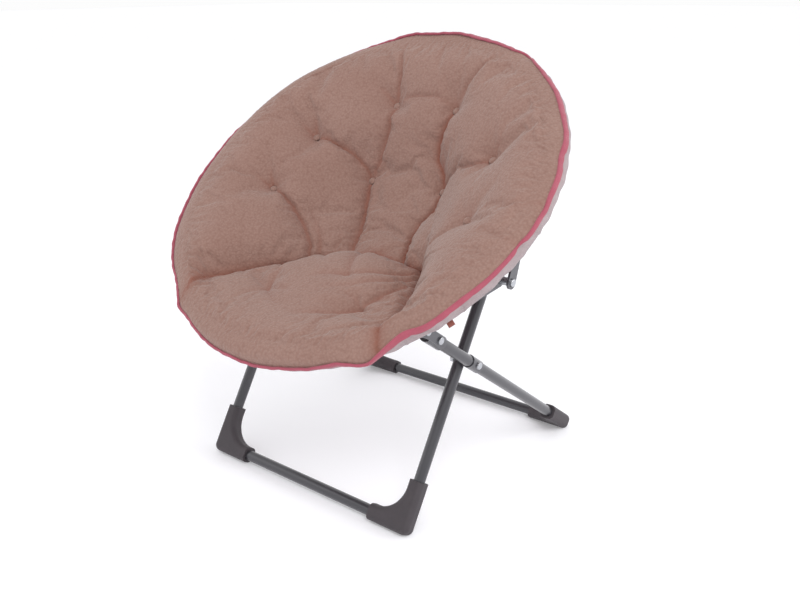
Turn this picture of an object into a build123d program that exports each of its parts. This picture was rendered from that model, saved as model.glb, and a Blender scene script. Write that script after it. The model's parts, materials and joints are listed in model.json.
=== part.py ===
"""Folding papasan chair: two crossed tube leg frames carry a round hoop hinged across its sides,
and a padded, tufted dish hangs in the hoop on fabric sleeves."""
import os
from math import acos, asin, cos, degrees, hypot, radians, sin, sqrt, tan

from build123d import *

# Driving dimensions, in millimetres and degrees
FRONT_WIDTH = 530.0        # over the front feet
BASE_DEPTH = 580.0         # front of the front feet to back of the rear feet
HEIGHT = 850.0             # floor to the top of the hoop in its sleeve
HOOP_RADIUS = 400.0        # centre line of the hoop tube
HOOP_TILT = 38.0           # hoop plane, from the floor
HOOP_FORWARD = 92.0        # hoop centre ahead of the middle of the base
LEG_TUBE_D = 22.0
HOOP_TUBE_D = 22.0
TUBE_WALL = 1.5
BEND_RADIUS = 70.0         # corner bends of both leg frames
LEG_GAP = 8.0              # between the crossing tubes
FRONT_LEG_PAST = 20.0      # front leg tube past its top pivot
REAR_LEG_SHORT = 30.0      # rear leg tube ends this far below its top pivot

# Feet
FOOT_WALL = 5.0
FOOT_UP = 85.0             # up the leg from the bar's centre line
FOOT_ALONG = 78.0          # along the bar from the leg's centre line
FOOT_ROUND = 11.0
FOOT_CORNER = 14.0

# Crossing pivots
BOLT_D = 8.0
HEAD_D = 14.0
HEAD_HEIGHT = 4.0
NUT_SIZE = 13.0            # across flats
NUT_HEIGHT = 6.0
COLLAR_WALL = 1.5
COLLAR_LENGTH = 40.0
SPACER_D = 18.0

# Brackets between the frames and the hoop
PLATE = 3.0                # rear bracket sheet
BAR = 4.0                  # lugs, tongues and hinge arms
EYE_R = 12.0               # rounded end of a plate round its bolt
TONGUE_R = 9.5             # the same on a rear leg's tongue, which swings past the hoop
ROOT_R = 9.0               # rounded end of a plate at the hoop tube
WEB_DEPTH = 14.0
BRACKET_DROP = 47.4        # rear pivot below the hoop's plane
LUG_DROP = 28.0            # front pivot below the hoop's plane
LUG_BEHIND = 17.5          # front pivot behind the hoop tube
END_SLEEVE = 50.0          # fitting over the rear leg's top end
END_SLEEVE_WALL = 2.5

# Side hinges of the hoop
HINGE_SHARE = 0.4315       # hinge line, as a share of the way from the hoop's middle to the front lugs
HINGE_DROP = 40.0          # hinge line below the hoop's plane
REACH_SHARE = 0.2475       # hinge line to an arm's root on the tube, as a share of the same way
ARM_LAP = 20.0             # arm's root, in from the tube's end
ARM_OFFSET = 9.0           # hinge arm's plane off the tube's centre line
BUSH_D = 14.0

# Padded dish, measured from the hoop's plane
RIM_TOP = 8.0
RIM_BOTTOM = 8.0
LIP_TOP = 16.5
LIP_INSET = 6.5
SHOULDER_TOP = 20.0        # highest ring of the padding
SHOULDER_INSET = 23.0
FACE = ((0.0, -136.0), (80.0, -121.0), (150.0, -86.0), (255.0, -16.0))  # radius, height of the upper face
PANEL_DROP = 86.0          # seat panel's middle below the hoop's plane at the crease
PANEL_RISE = 16.7          # degrees from the hoop's plane
PANEL_RADIUS = 1150.0      # hollow across the panel
PANEL_SWELL = 60.0         # the panel is cut from a dish this much fuller
UNDER_DROP = 156.0
CREASE_BEHIND = 20.0       # seat and back part here, behind the hinge line
CREASE_REACH = 200.0       # crease groove meets the surface this far from the middle
CREASE_LEVEL = 108.0       # middle of the crease groove below the hoop's plane
CREASE_R = 18.0
CHANNEL_R = 14.0
CHANNEL_DEPTH = 9.0
DIMPLE_R = 45.0
DIMPLE_DEPTH = 20.0
BUTTON_R = 9.0
# Places on the padding, across and along the tilt
INNER_TUFT = (97.0, 92.0)
TOP_TUFT = (77.0, 244.0)
OUTER_TUFT = (228.0, 132.0)
SIDE_TUFT = (260.0, -23.0)
TUFTS = (INNER_TUFT, TOP_TUFT, OUTER_TUFT, SIDE_TUFT)
BACK_CHANNELS = ((OUTER_TUFT, (162.0, 118.0), INNER_TUFT), (TOP_TUFT, (72.0, 165.0), INNER_TUFT),
                 (INNER_TUFT, (84.0, 10.0), (66.0, -70.0)), (SIDE_TUFT, (202.0, -42.0), (142.0, -86.0)))
PANEL_EDGE = ((142.0, -80.0), (187.0, -190.0), (222.0, -268.0), (270.0, -375.0))
SEAT_CREASE = ((147.0, -95.0), (187.0, -190.0), (226.0, -278.0))  # between the panel and the bolsters beside it
SEAT_CREASE_DEPTH = 7.0
NOTCH_MARGIN = 5.0
THROUGH = 60.0             # bores run through all that a bolt joins

# Fabric sleeves, binding and ties
SLEEVE_WALL = 2.2
SLEEVE_GAP = 16.0          # bare tube left beside a bracket
BINDING_R = 4.5
BINDING_INSET = 6.0
TIE_WIDTH = 14.0
TIE_THICK = 2.0
TIE_LENGTH = 22.0

# Clearances
RUN_FIT = 0.05             # radial, bolt in a turning hole
SIDE_FIT = 0.4             # beside a turning piece
SEAT_FIT = 0.15            # round a fixed sleeve
SOFT_FIT = 0.4             # between soft pieces and what holds them
CHEEK_FIT = 1.0
LUG_FIT = 2.0              # between lug and tongue at the front pivot

LEG_R = LEG_TUBE_D / 2
HOOP_R = HOOP_TUBE_D / 2
BOLT_R = BOLT_D / 2
SLEEVE_R = HOOP_R + SEAT_FIT + SLEEVE_WALL
FOOT_R = LEG_R + FOOT_WALL
COLLAR_R = LEG_R + SEAT_FIT + COLLAR_WALL
PAD_R = HOOP_RADIUS - SLEEVE_R - SOFT_FIT
SIDES = (("left", -1), ("right", 1))

COS_T = cos(radians(HOOP_TILT))
SIN_T = sin(radians(HOOP_TILT))

# The origin is on the floor, midway between the hoop's front and the rear feet
BASE_Y = (HOOP_RADIUS * COS_T + SLEEVE_R + HOOP_FORWARD - BASE_DEPTH / 2) / 2
BAR_Z = FOOT_R
FRONT_X = FRONT_WIDTH / 2 - FOOT_R
REAR_X = FRONT_X + LEG_TUBE_D + LEG_GAP


# Floor bars: a foot's rounded corner reaches out to the base's depth
FOOT_REACH = (FOOT_R - FOOT_ROUND) * sqrt(2) + FOOT_ROUND
FRONT_BAR_Y = BASE_Y - BASE_DEPTH / 2 + FOOT_REACH
REAR_BAR_Y = BASE_Y + BASE_DEPTH / 2 - FOOT_REACH
HOOP_Y = BASE_Y - HOOP_FORWARD
HOOP_Z = HEIGHT - SLEEVE_R - HOOP_RADIUS * SIN_T

hoop_plane = Plane(origin=(0, HOOP_Y, HOOP_Z), x_dir=(1, 0, 0), z_dir=(0, -SIN_T, COS_T))
hoop_axis = Axis((0, HOOP_Y, HOOP_Z), (0, -SIN_T, COS_T))


def side_plane(x):
    """Upright plane across X, with its own x along the hoop's tilt and y square to the hoop."""
    return Plane(origin=(x, HOOP_Y, HOOP_Z), x_dir=(0, COS_T, SIN_T), z_dir=(1, 0, 0))


def in_hoop(y, z):
    """Side-view point as (along the tilt, above the hoop's plane)."""
    dy = y - HOOP_Y
    dz = z - HOOP_Z
    return dy * COS_T + dz * SIN_T, dz * COS_T - dy * SIN_T


def from_hoop(x, along, above):
    """Point given across, along the tilt and above the hoop's plane."""
    return hoop_plane.from_local_coords(Vector(x, along, above))


def tube_along(x):
    """How far along the tilt the hoop tube passes at x."""
    return sqrt(HOOP_RADIUS**2 - x**2)


TONGUE_X = REAR_X + LEG_R + SEAT_FIT + BAR / 2
LUG_X = TONGUE_X + BAR + LUG_FIT

# Pivots of the hoop: square below its tube behind, a little inside it in front
REAR_PIVOT_ALONG = tube_along(FRONT_X)
LUG_ALONG = tube_along(LUG_X)
FRONT_PIVOT_ALONG = LUG_BEHIND - LUG_ALONG
HINGE_FORWARD = HINGE_SHARE * LUG_ALONG
HINGE_REACH = REACH_SHARE * LUG_ALONG
HINGE_SETBACK = HINGE_REACH - ARM_LAP
CREASE_FORWARD = HINGE_FORWARD - CREASE_BEHIND


def side_point(along, above):
    """Side-view point (y, z) given along the tilt and above the hoop's plane."""
    point = from_hoop(0, along, above)
    return point.Y, point.Z


REAR_PIVOT = side_point(REAR_PIVOT_ALONG, -BRACKET_DROP)
FRONT_PIVOT = side_point(FRONT_PIVOT_ALONG, -LUG_DROP)
HINGE_LINE = side_point(-HINGE_FORWARD, -HINGE_DROP)

# Each leg runs straight from its floor bar to its pivot at the hoop
FRONT_TO_PIVOT = hypot(REAR_PIVOT[0] - FRONT_BAR_Y, REAR_PIVOT[1] - BAR_Z)
REAR_TO_PIVOT = hypot(REAR_BAR_Y - FRONT_PIVOT[0], FRONT_PIVOT[1] - BAR_Z)
COS_A = (REAR_PIVOT[0] - FRONT_BAR_Y) / FRONT_TO_PIVOT
SIN_A = (REAR_PIVOT[1] - BAR_Z) / FRONT_TO_PIVOT
COS_B = (REAR_BAR_Y - FRONT_PIVOT[0]) / REAR_TO_PIVOT
SIN_B = (FRONT_PIVOT[1] - BAR_Z) / REAR_TO_PIVOT
FRONT_LENGTH = FRONT_TO_PIVOT + FRONT_LEG_PAST
REAR_LENGTH = REAR_TO_PIVOT - REAR_LEG_SHORT
front_plane = Plane(origin=(0, FRONT_BAR_Y, BAR_Z), x_dir=(1, 0, 0), z_dir=(0, -SIN_A, COS_A))
rear_plane = Plane(origin=(0, REAR_BAR_Y, BAR_Z), x_dir=(1, 0, 0), z_dir=(0, -SIN_B, -COS_B))
front_along = Vector(0, COS_A, SIN_A)
rear_along = Vector(0, -COS_B, SIN_B)


def on_front_leg(distance):
    return FRONT_BAR_Y + distance * COS_A, BAR_Z + distance * SIN_A


def on_rear_leg(distance):
    return REAR_BAR_Y - distance * COS_B, BAR_Z + distance * SIN_B


# The legs cross where the law of sines over the bars' spread puts it
FRONT_CROSS = (REAR_BAR_Y - FRONT_BAR_Y) * SIN_B / (SIN_A * COS_B + COS_A * SIN_B)
CROSSING = on_front_leg(FRONT_CROSS)
FITTING_BOLT = on_rear_leg(REAR_LENGTH - END_SLEEVE / 2)

BACK_ARM_X = sqrt(HOOP_RADIUS**2 - (HINGE_REACH - HINGE_FORWARD) ** 2) - ARM_OFFSET
SEAT_ARM_X = sqrt(HOOP_RADIUS**2 - (HINGE_REACH + HINGE_FORWARD) ** 2) + ARM_OFFSET
CHEEK_X = LEG_R + CHEEK_FIT + PLATE / 2

for name, point in (("crossing", CROSSING), ("rear pivot", REAR_PIVOT), ("front pivot", FRONT_PIVOT),
                    ("hinge line", HINGE_LINE)):
    print(f"{name}: y {point[0]:.3f} z {point[1]:.3f}")

os.makedirs("parts", exist_ok=True)


def save(builder, name):
    builder.part.label = name
    export_step(builder.part, f"parts/{name}.step")


def ring_section(path, outer, inner):
    """Tube section square to the start of a path."""
    with BuildSketch(Plane(origin=path @ 0, z_dir=path % 0)) as section:
        Circle(outer)
        if inner:
            Circle(inner, mode=Mode.SUBTRACT)
    return section.sketch


def bolt_bore(point, x):
    """Running-fit hole along X through what is there."""
    with Locations(Location((x, point[0], point[1]), (0, 90, 0))):
        Cylinder(BOLT_R + RUN_FIT, THROUGH, mode=Mode.SUBTRACT)


def cross_pin(point, radius, start, end):
    """Round bar along X from start to end."""
    with Locations(Location(((start + end) / 2, point[0], point[1]), (0, 90, 0))):
        Cylinder(radius, abs(end - start))


def link_plate(x, thickness, ends):
    """Flat plate square to X round the given (along, above, radius) ends."""
    with BuildSketch(side_plane(x)) as outline:
        for along, above, radius in ends:
            with Locations((along, above)):
                Circle(radius)
        make_hull()
    extrude(outline.sketch, amount=thickness / 2, both=True)


def clear_hoop_tube(gap=0.0):
    """Saddle where a piece is welded to the hoop tube."""
    with Locations(hoop_plane.location):
        Torus(HOOP_RADIUS, HOOP_R + gap, mode=Mode.SUBTRACT)


def leg_path(plane, half, length):
    """Centre line of a leg frame: up one leg, round the floor bar, up the other."""
    with BuildLine(plane) as path:
        FilletPolyline((-half, length), (-half, 0), (half, 0), (half, length), radius=BEND_RADIUS)
    return path.wires()[0]


def hoop_path(start, end, radius=HOOP_RADIUS, above=0.0):
    """Arc round the hoop's axis between two angles from +X."""
    with BuildLine(hoop_plane.offset(above)) as path:
        CenterArc((0, 0), radius, start, end - start)
    return path.wires()[0]


# Leg frames: one bent tube each, bored for its bolts
with BuildPart() as front_leg_frame:
    line = leg_path(front_plane, FRONT_X, FRONT_LENGTH)
    sweep(ring_section(line, LEG_R, LEG_R - TUBE_WALL), path=line)
    for name, side in SIDES:
        bolt_bore(CROSSING, side * FRONT_X)
        bolt_bore(REAR_PIVOT, side * FRONT_X)
save(front_leg_frame, "front_leg_frame")

with BuildPart() as rear_leg_frame:
    line = leg_path(rear_plane, REAR_X, REAR_LENGTH)
    sweep(ring_section(line, LEG_R, LEG_R - TUBE_WALL), path=line)
    for name, side in SIDES:
        bolt_bore(CROSSING, side * REAR_X)
        bolt_bore(FITTING_BOLT, side * REAR_X)
save(rear_leg_frame, "rear_leg_frame")


def corner_foot(plane, half, side):
    """Moulded corner over a bend: square outside, round inside, flat on the floor."""
    with BuildSketch(plane) as section:
        with BuildLine():
            outline = Polyline(
                (side * (half - FOOT_R), BEND_RADIUS), (side * (half - FOOT_R), FOOT_UP),
                (side * (half + FOOT_R), FOOT_UP), (side * (half + FOOT_R), -FOOT_R),
                (side * (half - FOOT_ALONG), -FOOT_R), (side * (half - FOOT_ALONG), FOOT_R),
                (side * (half - BEND_RADIUS), FOOT_R))
            bulge = (BEND_RADIUS - FOOT_R) * sqrt(0.5)
            ThreePointArc(outline @ 1, (side * (half - BEND_RADIUS + bulge), BEND_RADIUS - bulge), outline @ 0)
        make_face()
    extrude(section.sketch, amount=FOOT_R, both=True)


def at_foot_end(edge, plane, half):
    """Whether an edge lies round one of a foot's open ends, which stay square."""
    middle = plane.to_local_coords(edge.center())
    return middle.Y > FOOT_UP - SEAT_FIT or abs(middle.X) < half - FOOT_ALONG + SEAT_FIT


FEET = (("front", front_plane, FRONT_X, FRONT_LENGTH), ("rear", rear_plane, REAR_X, REAR_LENGTH))
for end, plane, half, length in FEET:
    for name, side in SIDES:
        with BuildPart() as foot:
            corner_foot(plane, half, side)
            corner = foot.edges().filter_by(Axis(plane.origin, plane.z_dir))
            fillet(corner.group_by(Axis.X)[-1 if side > 0 else 0].sort_by(Axis.Z)[0], radius=FOOT_CORNER)
            flats = foot.faces().filter_by(Axis(plane.origin, plane.z_dir))
            fillet([edge for edge in flats.edges() if not at_foot_end(edge, plane, half)], radius=FOOT_ROUND)
            line = leg_path(plane, half, length)
            sweep(ring_section(line, LEG_R + SEAT_FIT, 0), path=line, mode=Mode.SUBTRACT)
            with Locations((side * half, plane.origin.Y, -FOOT_UP / 2)):
                Box(FRONT_WIDTH, BASE_DEPTH, FOOT_UP, mode=Mode.SUBTRACT)
        save(foot, f"{end}_foot_{name}")


def tube_plug(point, along):
    """Cap on a tube's end with a spigot inside it."""
    with BuildSketch(Plane(origin=point, z_dir=along)) as cap:
        Circle(LEG_R - SEAT_FIT)
    extrude(cap.sketch, amount=BAR)
    with BuildSketch(Plane(origin=point, z_dir=along)) as spigot:
        Circle(LEG_R - TUBE_WALL - SEAT_FIT)
    extrude(spigot.sketch, amount=-LEG_R / 2)


for name, side in SIDES:
    with BuildPart() as front_leg_plug:
        y, z = on_front_leg(FRONT_LENGTH)
        tube_plug((side * FRONT_X, y, z), front_along)
        fillet(front_leg_plug.edges().group_by(SortBy.LENGTH)[-1].sort_by(Axis.Z)[-1], radius=BAR / 2)
    save(front_leg_plug, f"front_leg_plug_{name}")

    with BuildPart() as rear_leg_plug:
        y, z = on_rear_leg(REAR_LENGTH)
        tube_plug((side * REAR_X, y, z), rear_along)
        fillet(rear_leg_plug.edges().group_by(SortBy.LENGTH)[-1].sort_by(Axis.Z)[-1], radius=BAR / 2)
    save(rear_leg_plug, f"rear_leg_plug_{name}")

# Crossing pivots: collar on the rear leg, saddle spacer on the front leg, one bolt and nut a side
for name, side in SIDES:
    with BuildPart() as pivot_collar:
        with BuildSketch(Plane(origin=(side * REAR_X, *CROSSING), z_dir=rear_along)):
            Circle(COLLAR_R)
            Circle(LEG_R + SEAT_FIT, mode=Mode.SUBTRACT)
        extrude(amount=COLLAR_LENGTH / 2, both=True)
        bolt_bore(CROSSING, side * REAR_X)
    save(pivot_collar, f"pivot_collar_{name}")

    with BuildPart() as pivot_spacer:
        cross_pin(CROSSING, SPACER_D / 2, side * FRONT_X, side * (REAR_X - COLLAR_R - SIDE_FIT))
        with BuildSketch(Plane(origin=(side * FRONT_X, *CROSSING), z_dir=front_along)):
            Circle(LEG_R + SEAT_FIT)
        extrude(amount=SPACER_D, both=True, mode=Mode.SUBTRACT)
        bolt_bore(CROSSING, side * FRONT_X)
    save(pivot_spacer, f"pivot_spacer_{name}")

    with BuildPart() as pivot_bolt:
        head_at = REAR_X + COLLAR_R + SIDE_FIT
        cross_pin(CROSSING, BOLT_R, side * (FRONT_X - LEG_R - SIDE_FIT - NUT_HEIGHT), side * head_at)
        cross_pin(CROSSING, HEAD_D / 2, side * head_at, side * (head_at + HEAD_HEIGHT))
        fillet(pivot_bolt.edges().sort_by(Axis.X)[-1 if side > 0 else 0], radius=HEAD_HEIGHT / 2)
    save(pivot_bolt, f"pivot_bolt_{name}")

    with BuildPart() as pivot_nut:
        nut_at = side * (FRONT_X - LEG_R - SIDE_FIT - NUT_HEIGHT / 2)
        with BuildSketch(side_plane(nut_at)):
            with Locations(in_hoop(*CROSSING)):
                RegularPolygon(NUT_SIZE / 2, 6, major_radius=False)
                Circle(BOLT_R + RUN_FIT, mode=Mode.SUBTRACT)
        extrude(amount=NUT_HEIGHT / 2, both=True)
    save(pivot_nut, f"pivot_nut_{name}")

# Hoop: two arcs of tube with their ends set back from the side hinges
back_start = degrees(asin((HINGE_SETBACK - HINGE_FORWARD) / HOOP_RADIUS))
seat_start = degrees(asin((HINGE_SETBACK + HINGE_FORWARD) / HOOP_RADIUS))
for hoop_name, start, end in (("back_hoop_tube", back_start, 180 - back_start),
                              ("seat_hoop_tube", 180 + seat_start, 360 - seat_start)):
    with BuildPart() as hoop_tube:
        line = hoop_path(start, end)
        sweep(ring_section(line, HOOP_R, HOOP_R - TUBE_WALL), path=line)
    save(hoop_tube, hoop_name)

    for at, way in ((line @ 0, -(line % 0)), (line @ 1, line % 1)):
        with BuildPart() as hoop_plug:
            tube_plug(at, way)
        save(hoop_plug, hoop_name.replace("tube", "plug_right" if at.X > 0 else "plug_left"))

# Rear brackets: a bent sheet saddle under the hoop holds the front leg's top between its cheeks
for name, side in SIDES:
    with BuildPart() as rear_bracket:
        for x in (FRONT_X - CHEEK_X, FRONT_X + CHEEK_X):
            link_plate(side * x, PLATE, ((REAR_PIVOT_ALONG, -BRACKET_DROP, EYE_R),
                                         (tube_along(x), 0, ROOT_R)))
        with BuildSketch(side_plane(side * FRONT_X)):
            with Locations((REAR_PIVOT_ALONG, -WEB_DEPTH / 2 - ROOT_R / 2)):
                Rectangle(2 * ROOT_R, WEB_DEPTH)
        extrude(amount=CHEEK_X, both=True)
        clear_hoop_tube()
        bolt_bore(REAR_PIVOT, side * FRONT_X)
    save(rear_bracket, f"rear_bracket_{name}")

    with BuildPart() as rear_rivet:
        reach = CHEEK_X + PLATE / 2
        cross_pin(REAR_PIVOT, BOLT_R, side * (FRONT_X - reach), side * (FRONT_X + reach))
        for x, way in ((FRONT_X + reach, 1), (FRONT_X - reach, -1)):
            cross_pin(REAR_PIVOT, HEAD_D / 2, side * x, side * (x + way * HEAD_HEIGHT))
        rims = rear_rivet.edges().sort_by(Axis.X)
        fillet([rims[0], rims[-1]], radius=HEAD_HEIGHT / 2)
    save(rear_rivet, f"rear_rivet_{name}")

# Front pivots: a fitting over the rear leg's end carries a tongue beside a lug under the hoop
TONGUE_ENDS = (in_hoop(*FITTING_BOLT) + (TONGUE_R,), in_hoop(*FRONT_PIVOT) + (TONGUE_R,))
for name, side in SIDES:
    with BuildPart() as leg_fitting:
        y, z = on_rear_leg(REAR_LENGTH)
        with BuildSketch(Plane(origin=(side * REAR_X, y, z), z_dir=rear_along)):
            Circle(LEG_R + SEAT_FIT + END_SLEEVE_WALL)
        extrude(amount=-END_SLEEVE)
        link_plate(side * TONGUE_X, BAR, TONGUE_ENDS)
        with BuildSketch(Plane(origin=(side * REAR_X, y, z), z_dir=rear_along)):
            Circle(LEG_R + SEAT_FIT)
        extrude(amount=END_SLEEVE * 2, both=True, mode=Mode.SUBTRACT)
        bolt_bore(FITTING_BOLT, side * REAR_X)
        bolt_bore(FRONT_PIVOT, side * REAR_X)
    save(leg_fitting, f"leg_fitting_{name}")

    with BuildPart() as fitting_bolt:
        outer = TONGUE_X + BAR / 2
        inner = REAR_X - LEG_R - SEAT_FIT - END_SLEEVE_WALL
        cross_pin(FITTING_BOLT, BOLT_R, side * inner, side * outer)
        cross_pin(FITTING_BOLT, HEAD_D / 2, side * outer, side * (outer + HEAD_HEIGHT))
        cross_pin(FITTING_BOLT, HEAD_D / 2, side * inner, side * (inner - HEAD_HEIGHT))
        rims = fitting_bolt.edges().sort_by(Axis.X)
        fillet([rims[0], rims[-1]], radius=HEAD_HEIGHT / 2)
    save(fitting_bolt, f"fitting_bolt_{name}")

    with BuildPart() as tongue_rivet:
        inner = TONGUE_X - BAR / 2
        cross_pin(FRONT_PIVOT, BOLT_R, side * inner, side * (inner + BAR))
        cross_pin(FRONT_PIVOT, HEAD_D / 2, side * inner, side * (inner - HEAD_HEIGHT))
        fillet(tongue_rivet.edges().sort_by(Axis.X)[0 if side > 0 else -1], radius=HEAD_HEIGHT / 2)
    save(tongue_rivet, f"tongue_rivet_{name}")

    with BuildPart() as front_lug:
        link_plate(side * LUG_X, BAR, ((FRONT_PIVOT_ALONG, -LUG_DROP, EYE_R),
                                       (-LUG_ALONG, 0, ROOT_R)))
        clear_hoop_tube()
        bolt_bore(FRONT_PIVOT, side * LUG_X)
    save(front_lug, f"front_lug_{name}")

    with BuildPart() as lug_bolt:
        inner = LUG_X - BAR / 2
        outer = LUG_X + BAR / 2
        cross_pin(FRONT_PIVOT, BOLT_R, side * inner, side * outer)
        cross_pin(FRONT_PIVOT, HEAD_D / 2, side * outer, side * (outer + HEAD_HEIGHT))
        fillet(lug_bolt.edges().sort_by(Axis.X)[-1 if side > 0 else 0], radius=HEAD_HEIGHT / 2)
    save(lug_bolt, f"lug_bolt_{name}")

# Side hinges: an arm under each tube end, and a shouldered pin through both
for name, side in SIDES:
    with BuildPart() as back_hinge_arm:
        link_plate(side * BACK_ARM_X, BAR, ((-HINGE_FORWARD, -HINGE_DROP, EYE_R),
                                            (HINGE_REACH - HINGE_FORWARD, 0, ROOT_R)))
        clear_hoop_tube()
        bolt_bore(HINGE_LINE, side * BACK_ARM_X)
    save(back_hinge_arm, f"back_hinge_arm_{name}")

    with BuildPart() as seat_hinge_arm:
        link_plate(side * SEAT_ARM_X, BAR, ((-HINGE_FORWARD, -HINGE_DROP, EYE_R),
                                            (-HINGE_REACH - HINGE_FORWARD, 0, ROOT_R)))
        clear_hoop_tube()
        bolt_bore(HINGE_LINE, side * SEAT_ARM_X)
    save(seat_hinge_arm, f"seat_hinge_arm_{name}")

    with BuildPart() as hinge_pin:
        inner = SEAT_ARM_X - BAR / 2 - SIDE_FIT
        outer = BACK_ARM_X + BAR / 2
        cross_pin(HINGE_LINE, BOLT_R, side * inner, side * outer)
        cross_pin(HINGE_LINE, BUSH_D / 2, side * (SEAT_ARM_X + BAR / 2 + SIDE_FIT),
                  side * (BACK_ARM_X - BAR / 2))
        cross_pin(HINGE_LINE, HEAD_D / 2, side * outer, side * (outer + HEAD_HEIGHT))
        cross_pin(HINGE_LINE, HEAD_D / 2, side * inner, side * (inner - HEAD_HEIGHT))
        rims = hinge_pin.edges().sort_by(Axis.X)
        fillet([rims[0], rims[-1]], radius=HEAD_HEIGHT / 2)
    save(hinge_pin, f"hinge_pin_{name}")


def circle_through(first, second, third):
    """Centre and radius of the circle through three points of the dish's section."""
    (ax, ay), (bx, by), (cx, cy) = first, second, third
    twice = 2 * (ax * (by - cy) + bx * (cy - ay) + cx * (ay - by))
    a2, b2, c2 = ax**2 + ay**2, bx**2 + by**2, cx**2 + cy**2
    ux = (a2 * (by - cy) + b2 * (cy - ay) + c2 * (ay - by)) / twice
    uy = (a2 * (cx - bx) + b2 * (ax - cx) + c2 * (bx - ax)) / twice
    return ux, uy, sqrt((ax - ux) ** 2 + (ay - uy) ** 2)


RIM_POINT = (PAD_R, RIM_TOP)
LIP_POINT = (PAD_R - LIP_INSET, LIP_TOP)
SHOULDER_POINT = (PAD_R - SHOULDER_INSET, SHOULDER_TOP)
UNDER_RADIUS = (PAD_R**2 + (UNDER_DROP - RIM_BOTTOM) ** 2) / (2 * (UNDER_DROP - RIM_BOTTOM))


def upper_face(swell):
    """Points up the padding's upper face; a swell raises the middle and dies out at the shoulder."""
    raised = [(radius, height + swell * (1 - radius / SHOULDER_POINT[0])) for radius, height in FACE]
    return raised + [SHOULDER_POINT]


def top_height(across, along):
    """Height of the padding's upper face above the hoop's plane."""
    low, middle, bend, crown, shoulder = upper_face(0)
    radius = sqrt(across**2 + along**2)
    if radius > bend[0]:
        ux, uy, r = circle_through(bend, crown, shoulder)
        return uy + sqrt(r**2 - (radius - ux) ** 2)
    ux, uy, r = circle_through(low, middle, bend)
    return uy - sqrt(r**2 - (radius - ux) ** 2)


def dish(swell):
    """Whole padded dish, turned about the hoop's axis."""
    section = Plane(origin=hoop_plane.origin, x_dir=(1, 0, 0), z_dir=(0, -COS_T, -SIN_T))
    half_under = (PAD_R / 2, UNDER_RADIUS - UNDER_DROP - sqrt(UNDER_RADIUS**2 - PAD_R**2 / 4))
    low, middle, bend, crown, shoulder = upper_face(swell)
    with BuildSketch(section) as half:
        with BuildLine():
            ThreePointArc(low, middle, bend)
            ThreePointArc(bend, crown, shoulder)
            ThreePointArc(shoulder, LIP_POINT, RIM_POINT)
            Line(RIM_POINT, (PAD_R, -RIM_BOTTOM))
            ThreePointArc((PAD_R, -RIM_BOTTOM), half_under, (0, -UNDER_DROP))
            Line((0, -UNDER_DROP), low)
        make_face()
    revolve(half.sketch, axis=hoop_axis)


def keep_side(limit, way):
    """Cut the dish square to its tilt, keeping what lies on one side of the crease."""
    with Locations(hoop_plane.location * Location((0, limit - way * HOOP_RADIUS, 0))):
        Box(3 * HOOP_RADIUS, 2 * HOOP_RADIUS, 3 * HOOP_RADIUS, mode=Mode.SUBTRACT)


def swept_groove(points, radius):
    """Round groove along an arc through three points."""
    with BuildLine() as path:
        ThreePointArc(*points)
    line = path.wires()[0]
    sweep(ring_section(line, radius, 0), path=line, mode=Mode.SUBTRACT)


def crease_groove():
    """Groove along the top of the crease that runs out at its ends."""
    side_at = top_height(CREASE_REACH, CREASE_FORWARD) + CREASE_R
    swept_groove([from_hoop(x, -CREASE_FORWARD, height) for x, height in
                  ((-CREASE_REACH, side_at), (0, -CREASE_LEVEL), (CREASE_REACH, side_at))], CREASE_R)


def channel(places, height_at, radius, depth):
    """Sewn channel over the padding through three places on it, on both sides of the chair."""
    for name, side in SIDES:
        swept_groove([from_hoop(side * x, along, height_at(x, along) + radius - depth)
                      for x, along in places], radius)


def panel_height(across, along):
    """Height of the seat panel above the hoop's plane: a trough that rises to the front."""
    rise = tan(radians(PANEL_RISE)) * (-CREASE_FORWARD - along)
    return rise - PANEL_DROP + PANEL_RADIUS - sqrt(PANEL_RADIUS**2 - across**2)


def panel_plan():
    """Outline of the seat panel, run out past the rim in front."""
    with BuildSketch(hoop_plane) as plan:
        with BuildLine():
            Polyline(*PANEL_EDGE, *[(-x, along) for x, along in reversed(PANEL_EDGE)], close=True)
        make_face()
    return plan.sketch


def notch(x, half_width, start, end):
    """Room in the pad's edge for a bracket."""
    for side in (-1, 1):
        place = Location((side * x, (start + end) / 2, -HOOP_RADIUS / 2 + NOTCH_MARGIN))
        with Locations(hoop_plane.location * place):
            Box(2 * half_width, end - start, HOOP_RADIUS, mode=Mode.SUBTRACT)


dimple_places = []
for across, along in TUFTS:
    for name, side in SIDES:
        height = top_height(across, along) + DIMPLE_R - DIMPLE_DEPTH
        dimple_places.append(from_hoop(side * across, along, height))

# Back pad: everything behind the crease, tufted and channelled
with BuildPart() as back_pad:
    dish(0)
    keep_side(-CREASE_FORWARD + SOFT_FIT, 1)
    crease_groove()
    with Locations(*dimple_places):
        Sphere(DIMPLE_R, mode=Mode.SUBTRACT)
    for places in BACK_CHANNELS:
        channel(places, top_height, CHANNEL_R, CHANNEL_DEPTH)
    notch(FRONT_X, CHEEK_X + PLATE + NOTCH_MARGIN, REAR_PIVOT_ALONG - EYE_R - 2 * NOTCH_MARGIN, HOOP_RADIUS)
save(back_pad, "back_pad")

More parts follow.
